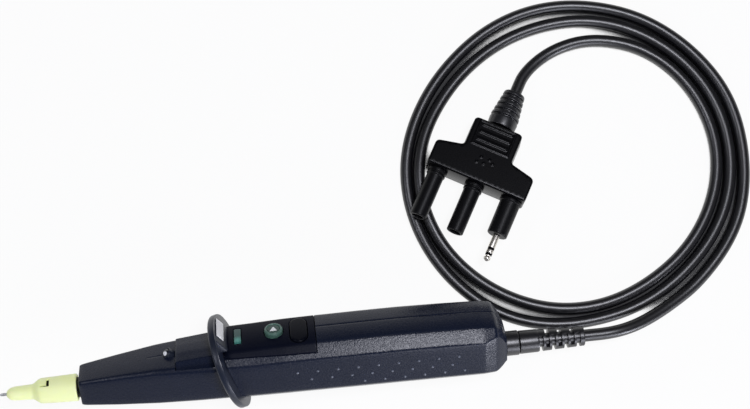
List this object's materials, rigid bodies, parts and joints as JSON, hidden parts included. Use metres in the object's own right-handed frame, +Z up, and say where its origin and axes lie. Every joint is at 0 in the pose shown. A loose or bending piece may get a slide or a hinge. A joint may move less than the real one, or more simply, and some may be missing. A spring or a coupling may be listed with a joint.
{
  "type": "switched test probe",
  "caption": "Hand-held switched test probe: octagonal grip with guard, keypad and torch, capped needle, and a coiled lead to a three-pole plug.",
  "frame": {"origin": "centre of the probe's bounding box in plan, on the surface the probe lies on (lead and plug not counted)", "axes": "+X from the needle point to the lead outlet, +Z up, the keypad leaning 45 degrees towards +Y"},
  "size_m": [0.3743, 0.1876, 0.0454],
  "materials": {
    "needle_steel": "ground and polished",
    "cap_plastic": "smooth moulded, slightly translucent",
    "neck_plastic": "moulded",
    "seal_rubber": "matte",
    "handle_plastic": "soft-touch textured moulding",
    "screw_steel": "zinc plated",
    "label_film": "printed film, blank",
    "button_plastic": "satin",
    "arrow_plastic": "two-shot inlay",
    "key_plastic": "soft-touch",
    "window_plastic": "translucent, polished",
    "lens_acrylic": "clear, polished",
    "diode_epoxy": "clear epoxy",
    "board_laminate": "solder resist",
    "switch_plastic": "moulded",
    "core_red": "satin",
    "core_black": "satin",
    "moulded_pvc": "fine matt grain",
    "jacket_pvc": "satin",
    "sheath_plastic": "smooth moulded",
    "nickel_plate": "bright nickel plate",
    "insulator_plastic": "moulded"
  },
  "bodies": {
    "root": {"contact_needle": "needle_steel", "tip_neck": "neck_plastic", "neck_seal": "seal_rubber", "keypad_deck": "handle_plastic", "shell_near": "handle_plastic", "shell_far": "handle_plastic", "shell_screw_1": "screw_steel", "shell_screw_2": "screw_steel", "shell_screw_3": "screw_steel", "shell_screw_4": "screw_steel", "hand_guard": "handle_plastic", "rating_label": "label_film", "indicator_window": "window_plastic", "torch_lens": "lens_acrylic", "torch_diode": "diode_epoxy", "circuit_board": "board_laminate", "start_switch": "switch_plastic", "lamp_switch": "switch_plastic", "window_diode": "diode_epoxy", "lead_clamp": "neck_plastic", "core_near": "core_red", "core_far": "core_black", "rear_collar": "moulded_pvc", "rear_boot": "moulded_pvc", "lead_cable": "jacket_pvc", "plug_body": "moulded_pvc", "plug_boot": "moulded_pvc", "prong_sheath_black": "sheath_plastic", "prong_sheath_guard": "sheath_plastic", "prong_pin_black": "nickel_plate", "prong_pin_guard": "nickel_plate", "jack_sheath": "sheath_plastic", "jack_sleeve": "nickel_plate", "jack_ring": "nickel_plate", "jack_tip": "nickel_plate", "jack_insulator_rear": "insulator_plastic", "jack_insulator_front": "insulator_plastic"},
    "tip_cap": {"tip_cap": "cap_plastic"},
    "start_button": {"start_button": "button_plastic", "button_arrow": "arrow_plastic"},
    "lamp_key": {"lamp_key": "key_plastic"}
  },
  "joints": [
    {"name": "cap_pull", "type": "slide", "parent": "root", "child": "tip_cap", "axis": [-0.9993, 0, 0.0375], "range_m": [0, 0.036]},
    {"name": "start_press", "type": "slide", "parent": "root", "child": "start_button", "axis": [-0.0265, -0.7071, -0.7066], "range_m": [0, 0.0008], "stiffness_N_per_m": 900, "springref_m": -0.001},
    {"name": "lamp_press", "type": "slide", "parent": "root", "child": "lamp_key", "axis": [-0.0265, -0.7071, -0.7066], "range_m": [0, 0.0006], "stiffness_N_per_m": 900, "springref_m": -0.001}
  ]
}
